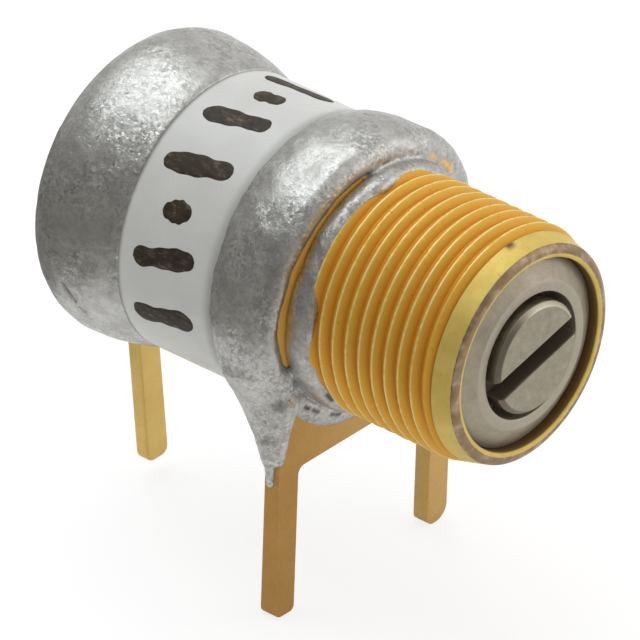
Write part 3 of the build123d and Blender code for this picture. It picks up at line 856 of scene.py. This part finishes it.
front_skin = skin(front_mass, low=(-2.35, -3.95, -0.62), high=(1.45, 3.95, 7.95), step=0.048)
front_place = front_skin[0] - [0, 0, axis_height]
front_radius = np.hypot(front_place[:, 1], front_place[:, 2])
front_turn = np.degrees(np.arctan2(front_place[:, 2], front_place[:, 1])) % 360


def mark(first_deg, last_deg, radius, x, size):
    """Share of a stain or a thread of gold on the joint: a bell of this size round an arc between two
    turns."""
    along = np.radians(front_turn - np.clip(front_turn, first_deg, last_deg)) * radius
    return np.exp(-(along**2 + (front_radius - radius) ** 2 + (front_place[:, 0] - x) ** 2) / size**2)


stain = mark(176, 178, 3.22, 0.38, 0.11) + mark(225, 228, 3.29, 0.39, 0.06)
stain += mark(231, 235, 3.27, 0.40, 0.055) + mark(244, 250, 3.28, 0.42, 0.055)
stain += mark(214, 219, 2.93, 1.17, 0.07) + 0.7 * mark(83, 86, 3.19, 0.57, 0.05)
gilt = mark(35, 44, 3.245, 0.535, 0.055) + 0.8 * mark(49, 55, 3.22, 0.555, 0.04)
front_joint = piece_of("front_joint", [front_skin], sharp_deg=80,
                       grime=[np.clip(stain, 0, 1)], gilt=[np.clip(gilt, 0, 1)])
front_joint.data.materials.append(solder)
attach(front_joint, "housing")
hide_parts("front_solder")

# INK MARKS
# A row of plain dashes and dots put on the ceramic by hand with a broad brown ink pen. The ink dried
# as a thin raised film, blotchy and uneven at its edges.


def dash(x_first, x_last, deg_first, deg_last, width, seed):
    """Pen stroke on the tube: a line between two places, with round ends and a domed, uneven edge."""
    along, across = np.linspace(0, 1, 60)[:, None], np.linspace(-1, 1, 15)[None, :]
    length = np.hypot(x_last - x_first, np.radians(deg_last - deg_first) * tube_radius)
    near_end = np.minimum(along, 1 - along) * length / (width / 2)
    half = width / 2 * np.sqrt(np.clip(1 - np.clip(1 - near_end, 0, 1) ** 2, 0, 1))
    half = half * (1 + 0.10 * np.sin(9 * along + seed) + 0.05 * np.sin(23 * along + 2 * seed))
    turn_first, turn_last = np.radians(deg_first), np.radians(deg_last)
    way = np.array([x_last - x_first, (turn_last - turn_first) * tube_radius]) / length
    x = x_first + (x_last - x_first) * along - half * across * way[1]
    turn = turn_first + (turn_last - turn_first) * along + half * across * way[0] / tube_radius
    radius = tube_radius - 0.004 + 0.016 * (1 - across**6)
    points = on_axis(x, radius + 0 * x, turn)
    return points, grid_faces(*points.shape[:2], close_columns=False)


# First and last place along X, first and last turn in degrees, width and seed.
ink_strokes = [
    (-4.00, -2.12, 197, 190, 0.56, 1), (-3.95, -2.15, 171, 163, 0.54, 2),
    (-3.42, -2.62, 149, 146, 0.56, 3), (-4.00, -2.12, 131, 125, 0.56, 4),
    (-3.95, -2.20, 106, 100, 0.54, 5), (-3.42, -2.66, 86, 83, 0.55, 6),
    (-4.00, -2.22, 68, 62, 0.54, 7),
]
ink_marks = piece_of("ink_marks", [dash(*stroke) for stroke in ink_strokes])
ink, tree, shader = new_material("ink")
colour = ramp(tree, grain(tree, 0.16, 5, 0.7, stretch=(0.5, 1, 1)), (0.30, (0.020, 0.013, 0.006)),
              (0.55, (0.046, 0.032, 0.017)), (0.72, (0.16, 0.13, 0.09)))
tree.links.new(colour, shader.inputs["Base Color"])
tree.links.new(ramp(tree, grain(tree, 0.1, 3), (0.3, 0.46), (0.7, 0.62)), shader.inputs["Roughness"])
shader.inputs["Specular IOR Level"].default_value = 0.3
bumped(tree, shader, (grain(tree, 0.07, 3), 0.004))
ink_marks.data.materials.append(ink)
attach(ink_marks, "housing")

# FLOOR, LIGHT AND CAMERA
# A white sweep under the legs, a soft light overhead and a weak one at the right, a low grey screen
# round the front that only gloss shows, a room that is bright behind the part and dim in front, and a
# long lens at the photograph's angle.

floor_z, floor_half = -3.96, 1500.0
floor_corners = np.array([(-1, -1, 0), (1, -1, 0), (1, 1, 0), (-1, 1, 0)]) * floor_half
floor_corners = floor_corners + [0, 0, floor_z]
floor_mesh = bpy.data.meshes.new("floor")
floor_mesh.from_pydata((floor_corners * mm).tolist(), [], [(0, 1, 2, 3)])
floor = bpy.data.objects.new("floor", floor_mesh)
bpy.context.scene.collection.objects.link(floor)


def matte(name, colour):
    """Material of one colour with no gloss."""
    material, tree, shader = new_material(name)
    shader.inputs["Base Color"].default_value = (*colour, 1)
    shader.inputs["Roughness"].default_value = 0.9
    shader.inputs["Specular IOR Level"].default_value = 0.0
    return material, tree, shader


# The floor's glow, and its share where the floor is seen and where gloss shows it.
glow_strength, seen_share, mirrored_share = 1.11, 0.72, 0.38
sweep, tree, shader = matte("sweep", (0.94, 0.94, 0.94))
rays = node(tree, "ShaderNodeLightPath").outputs
seen = maths(tree, "MAXIMUM", rays["Is Camera Ray"], rays["Is Transmission Ray"])
seen = maths(tree, "MULTIPLY", seen, seen_share)
mirrored = maths(tree, "MULTIPLY", rays["Is Glossy Ray"], mirrored_share)
share = maths(tree, "MAXIMUM", seen, mirrored)
glow = node(tree, "ShaderNodeEmission", {"Color": (1, 1, 1, 1), "Strength": glow_strength})
layers = {0: share, 1: shader.outputs["BSDF"], 2: glow.outputs["Emission"]}
surface = node(tree, "ShaderNodeMixShader", layers).outputs["Shader"]
tree.links.new(surface, tree.nodes["Material Output"].inputs["Surface"])
floor_mesh.materials.append(sweep)

screen_radius, screen_top, screen_columns = 12.5, 6.0, 40
screen_turn = np.radians(np.linspace(165, 330, screen_columns))[None, :]
screen_height = np.array([floor_z, screen_top])[:, None]
screen_x, screen_y = screen_radius * np.cos(screen_turn), screen_radius * np.sin(screen_turn)
screen_points = np.stack(np.broadcast_arrays(screen_x, screen_y, screen_height), -1).reshape(-1, 3)
screen_faces = grid_faces(2, screen_columns, close_columns=False)
screen_mesh = bpy.data.meshes.new("screen")
screen_mesh.from_pydata((screen_points * mm).tolist(), [], screen_faces.tolist())
screen = bpy.data.objects.new("screen", screen_mesh)
screen.visible_camera = False
screen.visible_diffuse = False
screen.visible_shadow = False
bpy.context.scene.collection.objects.link(screen)
grey_card, tree, shader = matte("grey_card", (0.42, 0.41, 0.395))
screen_mesh.materials.append(grey_card)

world = bpy.data.worlds.new("room")
world.use_nodes = True
tree = world.node_tree
way = node(tree, "ShaderNodeTexCoord").outputs["Generated"]
bright_way = (0.0, 0.32, 0.384)
toward = vectors(tree, "DOT_PRODUCT", way, bright_way, result="Value")
sky = ramp(tree, maths(tree, "ADD", toward, 0.5), (0.05, (0.20, 0.194, 0.184)),
           (0.5, (0.30, 0.296, 0.286)), (0.66, 0.43), (0.80, 0.72), (0.95, 0.78))
tree.links.new(sky, tree.nodes["Background"].inputs["Color"])
bpy.context.scene.world = world


def placed(axes, origin):
    """Placement from three axes as columns and an origin in metres."""
    return Matrix(np.block([[axes, origin[:, None]], [np.zeros((1, 3)), np.ones((1, 1))]]).tolist())


def soft_light(name, toward, away, size, energy, tint):
    """Square soft light at a distance in a direction from the origin, facing it."""
    lamp = bpy.data.lights.new(name, "AREA")
    lamp.shape = "SQUARE"
    lamp.size = size
    lamp.energy = energy
    lamp.color = tint
    toward = np.array(toward) / np.linalg.norm(toward)
    across = np.cross([0, 1.0, 0], toward)
    across /= np.linalg.norm(across)
    light = bpy.data.objects.new(name, lamp)
    axes = np.column_stack([across, np.cross(toward, across), toward])
    light.matrix_world = placed(axes, away * toward)
    bpy.context.scene.collection.objects.link(light)


soft_light("overhead", toward=(-0.34, 0.05, 0.94), away=0.20, size=0.18,
           energy=0.176, tint=(0.90, 0.97, 1.0))
soft_light("right_fill", toward=(0.70, 0.68, 0.22), away=0.25, size=0.16,
           energy=0.094, tint=(1.0, 0.99, 0.97))

azimuth, elevation = np.radians(41.33), np.radians(32.03)
distance, view_width, sensor = 500.0, 14.86, 36.0
target = np.array([-1.197, 0.0, 2.345])
right = np.array([np.cos(azimuth), np.sin(azimuth), 0])
level = np.cos(elevation)
back = np.array([np.sin(azimuth) * level, -np.cos(azimuth) * level, np.sin(elevation)])
up = np.cross(back, right)
view = bpy.data.cameras.new("long_lens")
view.sensor_width = sensor
view.lens = sensor * distance / view_width
view.clip_start = 0.01
camera = bpy.data.objects.new("camera", view)
camera.matrix_world = placed(np.column_stack([right, up, back]), (target + distance * back) * mm)
bpy.context.scene.collection.objects.link(camera)
bpy.context.scene.camera = camera
bpy.context.scene.view_settings.view_transform = "Standard"
